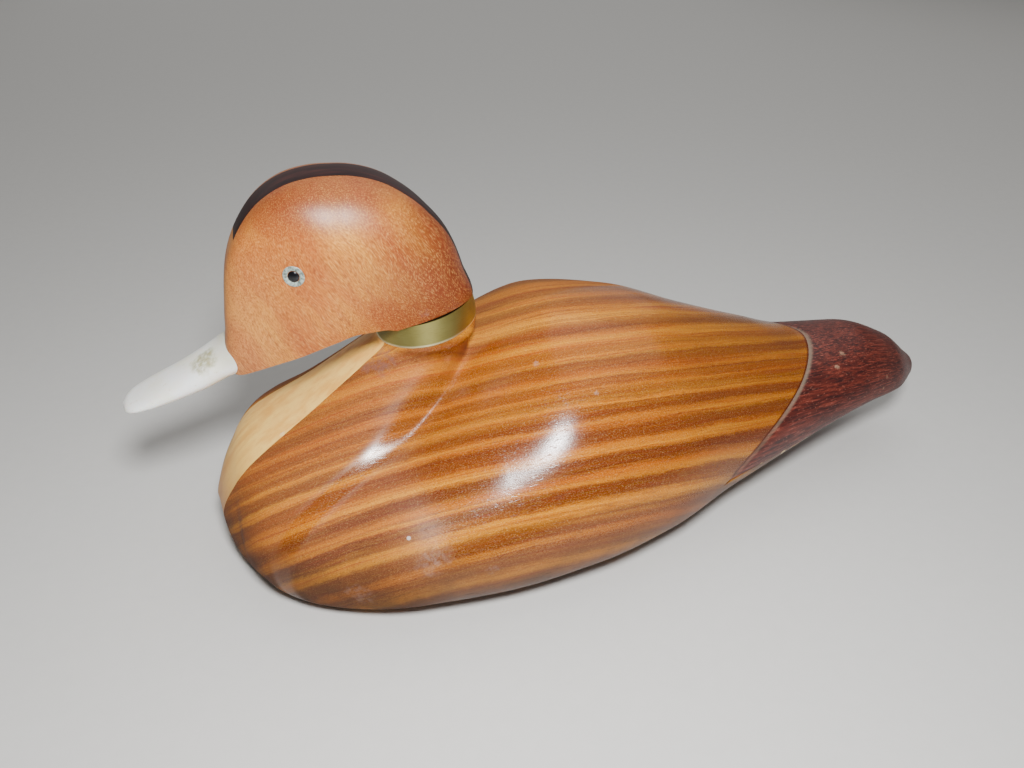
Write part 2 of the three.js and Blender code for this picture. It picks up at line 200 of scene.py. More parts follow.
def neck_field(x, y, z):
    """Distance outside the hull of a small neck ball and a large breast ball."""
    run = math.hypot(BREAST_BALL["x"] - NECK_BALL["x"], BREAST_BALL["z"] - NECK_BALL["z"])
    ux = (BREAST_BALL["x"] - NECK_BALL["x"]) / run
    uz = (BREAST_BALL["z"] - NECK_BALL["z"]) / run
    along = (x - NECK_BALL["x"]) * ux + (z - NECK_BALL["z"]) * uz
    aside = (z - NECK_BALL["z"]) * ux - (x - NECK_BALL["x"]) * uz
    wide = NECK_BALL["wide"] + (BREAST_BALL["wide"] - NECK_BALL["wide"]) * ease(along / run)
    out = np.hypot(aside, y / wide)
    spread = (NECK_BALL["r"] - BREAST_BALL["r"]) / run
    flank = math.sqrt(1 - spread * spread)
    key = along * flank - out * spread
    near = np.hypot(out, along) - NECK_BALL["r"]
    far = np.hypot(out, along - run) - BREAST_BALL["r"]
    side = out * flank + along * spread - NECK_BALL["r"]
    return np.where(key < 0, near, np.where(key > flank * run, far, side))


def stem_field(x, y, z):
    """Distance outside an upright oval stem, wider going down to its low end, drawn in
    below that, and cut back in front by a leaning plane."""
    half_width = STEM["half_width"] + STEM["flare"] * (STEM["z"] - np.maximum(z, STEM_LOW["z"]))
    ring = np.hypot((x - STEM["x"]) / STEM["half_length"], y / half_width)
    ahead = x - STEM_FRONT["x"] + STEM_FRONT["lean"] * (z - STEM_FRONT["z"])
    front = ahead / math.hypot(1, STEM_FRONT["lean"])
    trimmed = -blend(-(ring - 1) * STEM["half_width"], -front, STEM_FRONT["blend"])
    return trimmed + STEM_LOW["drawn_in"] * np.maximum(STEM_LOW["z"] - z, 0)


def form_field(x, y, z):
    """The whole carved form: trunk, neck and breast, and the round stem, blended together."""
    forward = np.clip(x - VALLEY["start"], 0, VALLEY["length"])
    carved = blend(trunk_field(x, y, z), neck_field(x, y, z),
                   VALLEY["blend"] + VALLEY["spread"] * forward ** 2)
    return blend(carved, stem_field(x, y, z), STEM["blend"])


def reach_out(field, shape, stride=2.0):
    """First place along each ray where the field turns positive, by steps and bisection."""
    inside = np.zeros(shape)
    going = np.ones(shape, bool)
    while going.any():
        going &= field(inside + stride) < 0
        inside = np.where(going, inside + stride, inside)
    outside = inside + stride
    for _ in range(HALVINGS):
        middle = (inside + outside) / 2
        within = field(middle) < 0
        inside = np.where(within, middle, inside)
        outside = np.where(within, outside, middle)
    return (inside + outside) / 2


def form_points():
    """Rings of points of the form, in upright planes along the tail and body, then in planes
    that fan forward and up the neck about a pivot behind it. In each plane a ray turns about
    the middle of the section at y = 0 and stops where the field turns positive."""
    rows, fans, bunched = ROWS["trunk"], ROWS["fan"], ROWS["bunched"]
    t = (np.arange(rows) + ROWS["first"]) / rows
    tail_end = TRUNK[0, 0]
    along_tail = (1 - bunched) * t + bunched * (1 - np.cos(t * np.pi / 2))
    upright = tail_end + (FAN["x"] - tail_end) * along_tail
    u = np.arange(1, fans + 1) / fans
    lift = FAN["lift"] * ease((u - FAN["lift_from"]) / (1 - FAN["lift_from"]))
    px = np.concatenate([upright, np.full(fans, float(FAN["x"]))])
    pz = np.concatenate([np.full(rows, ROWS["top"]), FAN["z"] + lift])
    angle = np.concatenate([np.zeros(rows), FAN["last"] * u])
    dx, dz = np.sin(angle), -np.cos(angle)
    reach = np.arange(0, REACH, ROWS["step"])
    line = form_field(px[:, None] + reach * dx[:, None], 0.0, pz[:, None] + reach * dz[:, None]) < 0
    near = reach[line.argmax(1)]
    rest = np.where(reach[None] < near[:, None], True, line)
    far = reach[rest.argmin(1)]
    middle, tall = (near + far) / 2, (far - near) / 2
    cx, cz = px + middle * dx, pz + middle * dz
    wide = reach_out(lambda r: form_field(cx, r, cz), cx.shape)
    turn = np.arange(ROWS["sides"]) * 2 * np.pi / ROWS["sides"]
    along = tall[:, None] * np.cos(turn)
    across = wide[:, None] * np.sin(turn)
    size = np.hypot(along, across)
    along, across = along / size, across / size

    def place(r):
        return (cx[:, None] + r * along * dx[:, None], r * across,
                cz[:, None] + r * along * dz[:, None])

    r = reach_out(lambda r: form_field(*place(r)), along.shape)
    return np.stack(place(r), -1)


def field_normal(points):
    """Direction in which the form's field grows fastest, by central differences."""
    x, y, z = points[..., 0], points[..., 1], points[..., 2]
    h = 0.05
    n = np.stack([form_field(x + h, y, z) - form_field(x - h, y, z),
                  form_field(x, y + h, z) - form_field(x, y - h, z),
                  form_field(x, y, z + h) - form_field(x, y, z - h)], -1)
    return n / np.linalg.norm(n, axis=-1, keepdims=True)


head_radius = curve_through(np.concatenate([
    HEAD_OUTLINE[-3:] - [360, 0], HEAD_OUTLINE, HEAD_OUTLINE[:3] + [360, 0]]), 1)


def ring_height(face, x):
    """Height of one of the ring's leaning faces at a place along X."""
    return face["z"] - face["fall"] * (x - STEM_BACK)


def cheek_half_width(x, z):
    """Flat half width of the head, eased narrower toward the bill and down to the ring."""
    taper = ease((x - HEAD["x"]) / CHEEK["taper"])
    flat = HEAD["half_width"] + (HEAD["front_half_width"] - HEAD["half_width"]) * taper
    above = z - ring_height(RING_TOP, x) + CHEEK["below"]
    low = 1 - ease(above / CHEEK["height"])
    behind = 1 - ease((x - CHEEK["start"]) / CHEEK["taper"])
    return flat * (1 - CHEEK["drawn_in"] * low * behind)


def head_points():
    """Superellipse layers from one cheek to the other: the outline radius times
    sin(turn)^p in side view, and the cheek half width times cos(turn)^p across."""
    turn = (np.pi * np.arange(1, HEAD_LAYERS) / HEAD_LAYERS)[:, None]
    angle = (360 * np.arange(HEAD_SIDES) / HEAD_SIDES - 90)[None]
    to_bill, to_crown = np.cos(np.radians(angle)), np.sin(np.radians(angle))
    power = 2 / (HEAD["round"] + HEAD["blunt"] * ease(to_bill))
    radius = np.sin(turn) ** power * head_radius(angle)
    side = np.sign(np.cos(turn)) * np.abs(np.cos(turn)) ** power
    x, z = HEAD["x"] + radius * to_bill, HEAD["z"] + radius * to_crown
    return np.stack(np.broadcast_arrays(x, side * cheek_half_width(x, z), z), -1)


def bill_points(rows=110, sides=120):
    """Superellipse sections whose top, bottom and half width follow the bill stations."""
    top, bottom, wide = (curve_through(BILL, column) for column in (1, 2, 3))
    root, tip = BILL[0, 0], BILL[-1, 0]
    x = (root + (tip - root) * np.sin(np.linspace(0, np.pi / 2, rows)))[:, None]
    turn = (np.arange(sides) * 2 * np.pi / sides)[None]
    c, s = np.cos(turn), np.sin(turn)
    y = np.sign(s) * np.abs(s) ** (2 / BILL_ROUND) * wide(x)
    lift = np.sign(c) * np.abs(c) ** (2 / BILL_ROUND) * (top(x) - bottom(x)) / 2
    return np.stack(np.broadcast_arrays(x, y, (top(x) + bottom(x)) / 2 - lift), -1)


# Meshes

def new_object(name, vertices, faces):
    """Object at the origin from points in millimetres and lists of their numbers."""
    mesh = bpy.data.meshes.new(name)
    mesh.from_pydata((np.asarray(vertices) * MM).tolist(), [], faces)
    mesh.update()
    piece = bpy.data.objects.new(name, mesh)
    bpy.context.collection.objects.link(piece)
    return piece


def skin(name, rings, first, last):
    """Closed surface over rings of points, with one point at each end."""
    rows, sides = rings.shape[:2]
    vertices = np.concatenate([[first], rings.reshape(-1, 3), [last]])
    row, side = np.meshgrid(np.arange(rows - 1), np.arange(sides), indexing="ij")
    after = (side + 1) % sides
    quads = np.stack([1 + row * sides + side, 1 + row * sides + after,
                      1 + (row + 1) * sides + after, 1 + (row + 1) * sides + side], -1)
    a, b = np.arange(sides), (np.arange(sides) + 1) % sides
    end = 1 + (rows - 1) * sides
    start_fan = np.stack([np.zeros(sides, int), 1 + b, 1 + a], -1)
    end_fan = np.stack([np.full(sides, len(vertices) - 1), end + a, end + b], -1)
    faces = quads.reshape(-1, 4).tolist() + start_fan.tolist() + end_fan.tolist()
    return new_object(name, vertices, faces)


def prism(name, outline, low, high):
    """Straight prism along Y over a closed outline in side view, points anticlockwise."""
    outline = np.asarray(outline, float)
    n = len(outline)
    near = np.stack([outline[:, 0], np.full(n, float(low)), outline[:, 1]], -1)
    far = near + [0, high - low, 0]
    faces = [list(range(n)), list(range(2 * n - 1, n - 1, -1))]
    faces += [[(i + 1) % n, i, n + i, n + (i + 1) % n] for i in range(n)]
    return new_object(name, np.concatenate([near, far]), faces)


def half_space(face, shift):
    """Everything below one of the ring's faces, moved up by a shift."""
    edge = [[x, ring_height(face, x) + shift] for x in (REACH, -REACH)]
    return prism("below_face", [[-REACH, -REACH], [REACH, -REACH]] + edge, -REACH, REACH)


def panel_region(grow):
    """Wedge between two flat joints that meet in a line leaning at 45 degrees."""
    slant = PANEL["flare"] * math.sqrt(2)
    apex = PANEL["meet"] / math.sqrt(2) - grow * math.hypot(1, slant) / slant
    wide = (REACH - apex) * slant
    corners = np.array([[apex, 0], [REACH, wide], [REACH, -wide]])
    ends = []
    for w in (-REACH, REACH):
        x, z = (corners[:, 0] + w) / math.sqrt(2), (corners[:, 0] - w) / math.sqrt(2)
        ends.append(np.stack([x, corners[:, 1], z], -1))
    faces = [[2, 1, 0], [3, 4, 5], [0, 1, 4, 3], [1, 2, 5, 4], [2, 0, 3, 5]]
    return new_object("panel_region", np.concatenate(ends), faces)


def seam_place(y, z):
    """Where the tail seam lies along X: bowed by |y|^power and leaning forward going down."""
    bow = TAIL_SEAM["bow"] * np.abs(y) ** TAIL_SEAM["power"]
    return TAIL_SEAM["x"] + bow + TAIL_SEAM["lean"] * (TAIL_SEAM["z"] - z)


def tail_region(grow):
    """Behind the tail seam and over its shelf, as a leaning wedge cut by the shelf's prism."""
    side, top = TAIL_SEAM["side"], 2.0 * TAIL_SEAM["z"]
    y = np.linspace(-side, side, TAIL_SEAM["points"])
    rims = [np.stack([seam_place(y, z) + grow, y, np.full_like(y, z)], -1) for z in (0.0, top)]
    closing = np.array([[-REACH, side, 0], [-REACH, -side, 0]], float)
    low = np.concatenate([rims[0], closing])
    high = np.concatenate([rims[1], closing + [0, 0, top]])
    n = len(low)
    faces = [list(range(n - 1, -1, -1)), list(range(n, 2 * n))]
    faces += [[i, (i + 1) % n, n + (i + 1) % n, n + i] for i in range(n)]
    wedge = new_object("tail_wedge", np.concatenate([low, high]), faces)
    end = TAIL_SHELF["end"] + grow
    shelf = [[x, TAIL_SHELF["z"] + TAIL_SHELF["rise"] * (TAIL_SHELF["x"] - x) - grow]
             for x in (end, REACH)]
    outline = [[-REACH, 0], [end - TAIL_SHELF["slope"], 0], *shelf, [REACH, REACH],
               [-REACH, REACH]]
    over = prism("over_shelf", outline, -REACH, REACH)
    return combine(wedge, over, "INTERSECT")


def over_throat():
    """Over the head's underside: along the ring's top, then the arch out to the bill."""
    t = np.linspace(0, len(THROAT) - 1, THROAT_POINTS)
    knots = np.arange(len(THROAT))
    columns = [curve_through(np.stack([knots, THROAT[:, i]], -1), 1)(t) for i in (0, 1)]
    line = np.stack(columns, -1)
    outline = [[0, ring_height(RING_TOP, 0)], *line, [REACH, line[-1, 1]], [REACH, REACH],
               [0, REACH]]
    return prism("over_throat", outline, -REACH, REACH)


def slab(low, high, end=REACH):
    """Upright slab of the head between two places across, from the back to an end."""
    return prism("slab", [[0, 0], [end, 0], [end, REACH], [0, REACH]], low, high)


def combine(piece, cutter, operation):
    """Cuts a piece by another closed shape, bakes the result and drops the cutter."""
    cut = piece.modifiers.new("cut", "BOOLEAN")
    cut.operation = operation
    cut.object = cutter
    cut.solver = "MANIFOLD"
    bake(piece)
    bpy.data.objects.remove(cutter)
    return piece


def bake(piece):
    """Puts the piece's modifiers into its mesh."""
    shown = piece.evaluated_get(bpy.context.evaluated_depsgraph_get())
    old = piece.data
    piece.modifiers.clear()
    piece.data = bpy.data.meshes.new_from_object(shown)
    piece.data.name = piece.name
    bpy.data.meshes.remove(old)


def copy_of(piece, name):
    """Second object with a mesh of its own."""
    twin = piece.copy()
    twin.data = piece.data.copy()
    twin.name = twin.data.name = name
    bpy.context.collection.objects.link(twin)
    return twin


def finish_piece(piece, node, material, sharp=SHARP):
    """Smooth shading with sharp cut edges, the material, and what the piece stands for."""
    piece.name = piece.data.name = node + "_carved"
    piece.data.polygons.foreach_set("use_smooth", np.ones(len(piece.data.polygons), bool))
    piece.data.set_sharp_from_angle(angle=math.radians(sharp))
    piece.data.materials.clear()
    piece.data.materials.append(material)
    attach(piece, "root")
    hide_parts(node)


# Materials

def linear(red, green, blue):
    """Screen colour from 0 to 255 as the linear colour that a shader takes."""
    value = np.array([red, green, blue]) / 255
    curved = ((value + 0.055) / 1.055) ** 2.4
    return tuple(np.where(value <= 0.04045, value / 12.92, curved)) + (1,)


# Colours of each wood and finish
GOLD = dict(deep=linear(168, 92, 10), bright=linear(206, 134, 20), orange=linear(158, 68, 8),
            brown=linear(116, 50, 14), dark=linear(74, 27, 9), dust_and_shade=linear(46, 33, 22),
            scuff=linear(186, 170, 164), fleck=linear(240, 214, 150), rub=linear(112, 84, 84))
PALE = dict(light=linear(255, 210, 112), deep=linear(238, 178, 84), fine=linear(188, 132, 82),
            low=linear(172, 100, 22), nick=linear(250, 240, 214))
REDDISH = dict(light=linear(218, 146, 48), deep=linear(182, 98, 34), front=linear(206, 138, 80),
               back=linear(98, 28, 12), thread=linear(150, 72, 34), dash=linear(232, 176, 100),
               dark_dash=linear(104, 42, 16), dark_fine=linear(112, 50, 24),
               scuff=linear(176, 150, 146))
CORE = dict(deep=linear(24, 10, 11), light=linear(54, 26, 24))
MAROON = dict(deep=linear(62, 18, 14), light=linear(92, 34, 24), furrow=linear(30, 10, 12),
              ridge=linear(138, 66, 52), fleck=linear(168, 108, 90), cove_reflection=linear(140, 124, 104),
              mark=linear(196, 160, 130))
BRASS = dict(light=linear(178, 170, 104), dull=linear(160, 150, 86),
             brushed=linear(140, 124, 66), rim=linear(244, 232, 180), joint=linear(40, 32, 20))
BONE = dict(white=linear(255, 255, 252), cream=linear(248, 246, 232),
            root=linear(166, 162, 130), stain=linear(150, 142, 70), speckle=linear(186, 172, 120))
SHELL = dict(dull=linear(92, 104, 98), light=linear(164, 176, 166))
JET = dict(deep=linear(10, 10, 14), worn=linear(40, 40, 46))
FLOOR = dict(dull=linear(206, 205, 202), light=linear(212, 211, 208))


def even(speed, detail, rough=0.55):
    """A grain that runs at one speed in every direction."""
    return (speed, speed, speed), detail, rough


# Grains: how fast the noise runs along each direction, per millimetre, its detail and how
# rough that detail is
STRIPED_GRAIN = dict(
    wave=((0.018, 0.03, 0.09), 3, 0.55), ripple=((0.06, 0.15, 0.5), 3, 0.55),
    jags=((0.4, 2.0, 3.0), 3, 0.6), streaks=((0.012, 0.05, 1.5), 4, 0.65),
    threads=((0.12, 0.9, 5.0), 3, 0.6), tone=((0.01, 0.02, 0.2), 2, 0.55),
    lines=((0.015, 0.05, 2.2), 3, 0.6), fade=((0.02, 0.05, 0.4), 2, 0.55),
    specks=((3.0, 6.0, 6.0), 2, 0.6), pores=((0.3, 3.2, 3.2), 2, 0.5), dust_and_shade=even(0.12, 3))
PALE_GRAIN = dict(broad=((0.04, 0.35, 0.5), 4, 0.6), fine=((0.5, 3.2, 3.2), 3, 0.55))
REDDISH_GRAIN = dict(
    swirl=even(0.05, 2), dashes=((0.9, 6.5, 7.8), 2, 0.6), fine=((1.1, 7.0, 9.0), 2, 0.6),
    threads=((0.12, 0.8, 1.4), 3, 0.6), tone=((0.05, 0.07, 0.14), 3, 0.55))
CORE_GRAIN = ((0.15, 1.6, 0.15), 4, 0.6)
MAROON_GRAIN = dict(ridges=((0.22, 3.4, 3.4), 3, 0.6), streaks=((0.05, 0.9, 0.9), 3, 0.6),
                    flecks=((1.2, 4.5, 4.5), 2, 0.5))
BRASS_GRAIN = dict(brushed=((0.6, 0.6, 7.0), 4, 0.6), tarnish=even(0.12, 2), specks=even(1.4, 2))
BONE_GRAIN = dict(cloud=even(0.18, 4), speckle=even(0.9, 4, 0.6))
SHELL_GRAIN = even(2.2, 3, 0.6)
JET_GRAIN = even(0.9, 3)
FLOOR_GRAIN = even(0.3, 3)
WEAR_GRAIN = even(0.9, 4, 0.7)

# Depth in millimetres of a bump of 1
BUMP_DEPTH = 0.2

# Full swing up and down of the striped wood's growth layers
SWING = dict(wave=2.6, ripple=1.6, jags=2.0)
# They rise toward the duck's left, and curve down ahead of a place along X
LAYERS = dict(lean=0.9, start=20, curve=0.003, low=-30.0, high=66.0, fade=1.8)
# Heights at which the dark layers cross the middle of the duck, with their half width
# measured upright and their strength
DARK_LAYERS = [
    (-26.0, 1.2, 0.7), (-19.5, 1.2, 0.8), (-13.3, 1.3, 0.9), (-6.5, 1.3, 1.0), (1.0, 1.2, 1.0),
    (8.3, 1.0, 0.9), (14.0, 0.9, 0.9), (18.5, 0.6, 0.7), (22.0, 0.6, 0.7), (27.5, 1.0, 0.8),
    (32.0, 0.4, 0.5), (39.3, 1.0, 0.8), (48.3, 0.8, 0.75), (53.5, 0.7, 0.7), (61.0, 1.1, 0.8),
]

# Where the looks change on the duck, in millimetres, as the two ends of each change
# Painted shade: the body darkens toward the tail
PAINTED_SHADE_TOWARD_TAIL = (-60.0, 10.0)
# Dust and painted shade darken the flank low down
LOW_FLANK_DUST_AND_SHADE = (8.0, 25.0)
# Painted shadow along the body's edge at the tail seam
SEAM_SHADOW = (0.3, 0.9)
ABOVE_SHELF = (16.4, 18.0)
LOW_PANEL = (12.0, 30.0)
FACE = dict(along=(56.0, 74.0), height=(62.0, 80.0))
NAPE = (25.0, 55.0)
CROWN = (73.0, 81.0)
# Painted reflection: a pale grey band on the tail along its seam
COVE_REFLECTION = dict(behind=(-2.1, -1.1), height=(20.0, 31.0))
BILL_ROOT = dict(along=(73.0, 78.0), height=(46.5, 50.0))
# Painted highlight along the ring's lower rim, and the dark joint under its top
RING_HIGHLIGHT_AND_JOINT = dict(low=(0.2, 0.5), top=(0.15, 0.4))
# The crease beside the neck: a place on it, and how far it runs forward for each millimetre
# outward. The wood is glossy on it, and dull beside it over the neck and the breast.
CREASE = dict(x=31, y=12, run=2.35, clear=(1.0, 3.0), neck=(1.0, 5.0), breast=(34.0, 52.0))
# The tail's ridges close in toward a point behind its tip, and have their full spacing at
# this distance ahead of it
CLOSING = dict(x=-115, z=17, full=40)

# Wear marks: place in millimetres, radius, share of the colour at their middle
BODY_WEAR = [
    ((14.0, 16.3, 45.2), 0.8, 0.25), ((4.2, 25.2, 42.1), 0.6, 0.25),
    ((39.4, 38.2, 19.5), 3.4, 0.1), ((41.5, 38.7, 18.0), 3.0, 0.1), ((55.2, 36.0, 10.9), 3.2, 0.08),
    ((29.8, 40.8, 15.5), 1.4, 0.12),
]
WHITE_SPECK = ((44.6, 34.6, 22.0), 0.5)
NECK_WEAR = [((44.4, 5.9, 45.6), 5.0, 0.4)]
SHELF_FLECKS = [((-37.0, 25.5, 16.0), 0.6, 0.7), ((-44.2, 22.8, 15.3), 0.9, 0.8),
                ((-51.7, 20.3, 16.4), 0.7, 0.7)]
PANEL_WEAR = [((65.6, 8.6, 32.1), 0.8, 0.4)]
CHEEK_WEAR = [((35.0, 8.5, 56.7), 1.7, 0.3)]
TAIL_WEAR = [((-65.5, 8.6, 30.0), 1.1, 0.35), ((-62.6, 11.5, 28.6), 0.8, 0.5),
             ((-76.5, 12.8, 20.9), 0.5, 0.4), ((-77.8, 11.6, 23.1), 0.5, 0.4)]
# Place, radius and raggedness of the stain on the bill
BILL_STAIN = ((77.8, 3.0, 48.4), 3.6, 3.0)


class Value:
    """A shader socket that Python's arithmetic works on."""

    def __init__(self, graph, socket):
        self.graph = graph
        self.socket = socket

    def math(self, operation, *others):
        return self.graph.node("ShaderNodeMath", {"operation": operation}, [self, *others])

    def __add__(self, other):
        return self.math("ADD", other)

    __radd__ = __add__

    def __mul__(self, other):
        return self.math("MULTIPLY", other)

    __rmul__ = __mul__

    def __sub__(self, other):
        return self.math("SUBTRACT", other)

    def __rsub__(self, other):
        return self.graph.node("ShaderNodeMath", {"operation": "SUBTRACT"}, [other, self])

    def __truediv__(self, other):
        return self.math("DIVIDE", other)

    def __rtruediv__(self, other):
        return self.graph.node("ShaderNodeMath", {"operation": "DIVIDE"}, [other, self])

    def __pow__(self, other):
        return self.math("POWER", other)

    def __abs__(self):
        return self.math("ABSOLUTE")

    def most(self, other):
        return self.math("MAXIMUM", other)

    def held(self):
        """The value, kept between 0 and 1."""
        return self.most(0.0).math("MINIMUM", 1.0)

    def between(self, low, high):
        """0 at low and below, 1 at high and above, smooth between."""
        settings = {"interpolation_type": "SMOOTHSTEP"}
        return self.graph.node("ShaderNodeMapRange", settings,
                               {"Value": self, "From Min": low, "From Max": high})


def fill_ramp(ramp, stops):
    """Gives a colour ramp its stops, from a list of (place, colour)."""
    ramp.interpolation = "EASE"
    while len(ramp.elements) < len(stops):
        ramp.elements.new(1.0)
    for element, (place, colour) in zip(ramp.elements, stops):
        element.position = place
        element.color = colour


class Graph:
    """One material's nodes, with its Principled shader and the place in millimetres."""

    def __init__(self, name, **constants):
        self.material = bpy.data.materials.new(name)
        self.material.use_nodes = True
        self.nodes = self.material.node_tree.nodes
        self.links = self.material.node_tree.links
        self.shader = self.nodes["Principled BSDF"]
        for socket, value in constants.items():
            self.shader.inputs[socket.replace("_", " ")].default_value = value
        place = self.node("ShaderNodeTexCoord", output="Object")
        split = self.node("ShaderNodeSeparateXYZ", None, [place]).socket.node.outputs
        self.x, self.y, self.z = (Value(self, out) * (1 / MM) for out in split)
        self.here = (self.x, self.y, self.z)

    def feed(self, socket, value):
        """Links a value to a socket, or sets a constant on it."""
        if isinstance(value, Value):
            self.links.new(value.socket, socket)
        else:
            socket.default_value = value

    def node(self, kind, settings=None, inputs=(), output=0):
        """Adds a node: its settings or stops first, then its inputs by name or in order."""
        made = self.nodes.new(kind)
        for name, value in (settings or {}).items():
            if name == "stops":
                fill_ramp(made.color_ramp, value)
            else:
                setattr(made, name, value)
        pairs = inputs.items() if isinstance(inputs, dict) else enumerate(inputs)
        for name, value in pairs:
            self.feed(made.inputs[name], value)
        return Value(self, made.outputs[output])

    def noise(self, point, grain):
        """Noise from 0 to 1 at a point in millimetres, with the speeds of a grain."""
        speeds, detail, rough = grain
        ways = [way * speed for way, speed in zip(point, speeds)]
        place = self.node("ShaderNodeCombineXYZ", None, ways)
        inputs = {"Vector": place, "Scale": 1.0, "Detail": detail, "Roughness": rough}
        return self.node("ShaderNodeTexNoise", None, inputs)

    def mix(self, share, first, second):
        """Colour mix, from first to second as share goes from 0 to 1."""
        return self.node("ShaderNodeMix", {"data_type": "RGBA"},
                         {0: share, 6: first, 7: second}, output=2)

    def spot(self, centre, radius, ragged=0.0):
        """1 inside a ball about a point in millimetres, fading out at its rim."""
        dx, dy, dz = (way - middle for way, middle in zip(self.here, centre))
        away = (dx * dx + dy * dy + dz * dz) ** 0.5
        if ragged:
            away = away + (self.noise(self.here, even(1.6 / radius, 3)) - 0.5) * ragged
        return 1 - away.between(radius * 0.55, radius)

    def worn(self, colour, marks, tint):
        """Ragged, broken spots of a tint over the colour, from (centre, radius, share)."""
        broken = self.noise(self.here, WEAR_GRAIN).between(0.36, 0.62)
        for centre, radius, share in marks:
            patch = self.spot(centre, radius, radius * 1.4) * broken
            colour = self.mix(patch * share, colour, tint)
        return colour

    def finish(self, colour, rough, height=None, bump=0.0):
        """Feeds the shader its colour and roughness, and its bump where there is one."""
        self.feed(self.shader.inputs["Base Color"], colour)
        self.feed(self.shader.inputs["Roughness"], rough)
        if height is not None:
            inputs = {"Strength": bump, "Distance": BUMP_DEPTH * MM, "Height": height}
            self.feed(self.shader.inputs["Normal"], self.node("ShaderNodeBump", None, inputs))
        return self.material


def layer_place(g):
    """How far up through the growth layers a point lies."""
    forward = (g.x - LAYERS["start"]).most(0.0)
    return g.z - g.y * LAYERS["lean"] + forward * forward * LAYERS["curve"]


def dark_share(g, place, layers):
    """Ramp that darkens over each layer's width, with a short fade on either side."""
    low, span, fade = LAYERS["low"], LAYERS["high"] - LAYERS["low"], LAYERS["fade"]
    stops = []
    for height, half, strength in layers:
        for shift, share in ((-half - fade, 0), (-half, strength), (half, strength),
                             (half + fade, 0)):
            stops.append(((height + shift - low) / span, (share, share, share, 1)))
    return g.node("ShaderNodeValToRGB", {"stops": stops}, [(place - low) / span])


def behind_seam(g):
    """Distance ahead of the tail seam along X, less than 0 on the tail."""
    bow = (abs(g.y) ** TAIL_SEAM["power"]) * TAIL_SEAM["bow"]
    return g.x - (bow + (TAIL_SEAM["z"] - g.z) * TAIL_SEAM["lean"] + TAIL_SEAM["x"])


def beside_crease(g):
    """1 on the neck and breast where the wood is dull, 0 on the crease beside the neck."""
    aside = g.x - CREASE["x"] - (g.y - CREASE["y"]) * CREASE["run"]
    ahead = aside / math.hypot(1, CREASE["run"])
    dull = g.x.between(*CREASE["breast"]).most(ahead.between(*CREASE["neck"]))
    return dull * abs(ahead).between(*CREASE["clear"])


def striped_wood():
    """Golden wood in bent growth layers, darker in some, with fine threads, pores and specks,
    dust and painted shade low on the flank, painted shade toward the tail, and a painted
    shadow along the body's edge at the tail seam."""
    g = Graph("striped_wood", IOR=1.45)
    layer = layer_place(g)

    def swing(name, along):
        return (g.noise((g.x, g.y, along), STRIPED_GRAIN[name]) - 0.5) * SWING[name]

    wavy = layer + swing("wave", layer) + swing("ripple", layer)
    jagged = wavy + swing("jags", wavy)
    streaks, threads, tone, lines, fade = (
        g.noise((g.x, g.y, wavy), STRIPED_GRAIN[name])
        for name in ("streaks", "threads", "tone", "lines", "fade"))
    specks, pores, dust_and_shade = (
        g.noise(g.here, STRIPED_GRAIN[name]) for name in ("specks", "pores", "dust_and_shade"))
    gold = g.mix(tone.between(0.3, 0.7), GOLD["deep"], GOLD["bright"])
    gold = g.mix(streaks.between(0.42, 0.7) * 0.7, gold, GOLD["orange"])
    gold = g.mix(lines.between(0.48, 0.7) * 0.6, gold, GOLD["brown"])
    dark = g.mix(threads.between(0.38, 0.68), GOLD["dark"], GOLD["brown"])
    half = len(DARK_LAYERS) // 2
    shade = dark_share(g, jagged, DARK_LAYERS[:half]).most(
        dark_share(g, jagged, DARK_LAYERS[half:]))
    strength = fade.between(0.25, 0.6) * 0.35 + 0.65
    depth = shade * strength * (0.92 + (threads - 0.5) * 1.1)
    colour = g.mix(depth.held(), gold, dark)
    pores = pores.between(0.6, 0.72)
    colour = g.mix(pores * 0.4, colour, GOLD["dark"])
    colour = g.mix((0.52 - specks).most(0.0) * 1.6, colour, GOLD["dark"])
    colour = g.mix((specks - 0.52).most(0.0) * 0.7, colour, GOLD["fleck"])
    # Painted shade: the body darkens toward the tail
    colour = g.mix((1 - g.x.between(*PAINTED_SHADE_TOWARD_TAIL)) * 0.35, colour, GOLD["dark"])
    # Dust and painted shade: the flank darkens low down
    low = 1 - g.z.between(*LOW_FLANK_DUST_AND_SHADE)
    colour = g.mix(low * (dust_and_shade.between(0.3, 0.7) * 0.3 + 0.5), colour, GOLD["dust_and_shade"])
    # Painted shadow along the body's edge at the tail seam
    edge = (1 - behind_seam(g).between(*SEAM_SHADOW)) * g.z.between(*ABOVE_SHELF)
    colour = g.mix(edge * 0.85, colour, GOLD["dark"])
    colour = g.worn(colour, BODY_WEAR, GOLD["scuff"])
    colour = g.mix(g.spot(*WHITE_SPECK), colour, GOLD["scuff"])
    colour = g.worn(colour, NECK_WEAR, GOLD["rub"])
    colour = g.worn(colour, SHELF_FLECKS, GOLD["fleck"])
    rough = 0.21 + pores * 0.15 + low * 0.25 + (specks - 0.5) * 0.3 + beside_crease(g) * 0.6
    return g.finish(colour, rough, specks * 0.6 - pores, 0.1)


def pale_wood():
    """Straw-coloured wood whose grain runs down the breast, browner low down."""
    g = Graph("pale_wood", IOR=1.5)
    along = g.x * 0.64 - g.z * 0.77
    across = g.x * 0.77 + g.z * 0.64
    broad = g.noise((along, g.y, across), PALE_GRAIN["broad"])
    fine = g.noise((along, g.y, across), PALE_GRAIN["fine"])
    colour = g.mix(broad.between(0.35, 0.7), PALE["light"], PALE["deep"])
    colour = g.mix(fine.between(0.55, 0.75) * 0.3, colour, PALE["fine"])
    colour = g.mix((1 - g.z.between(*LOW_PANEL)) * 0.85, colour, PALE["low"])
    colour = g.worn(colour, PANEL_WEAR, PALE["nick"])
    return g.finish(colour, 0.36 + fine * 0.14, fine, 0.06)


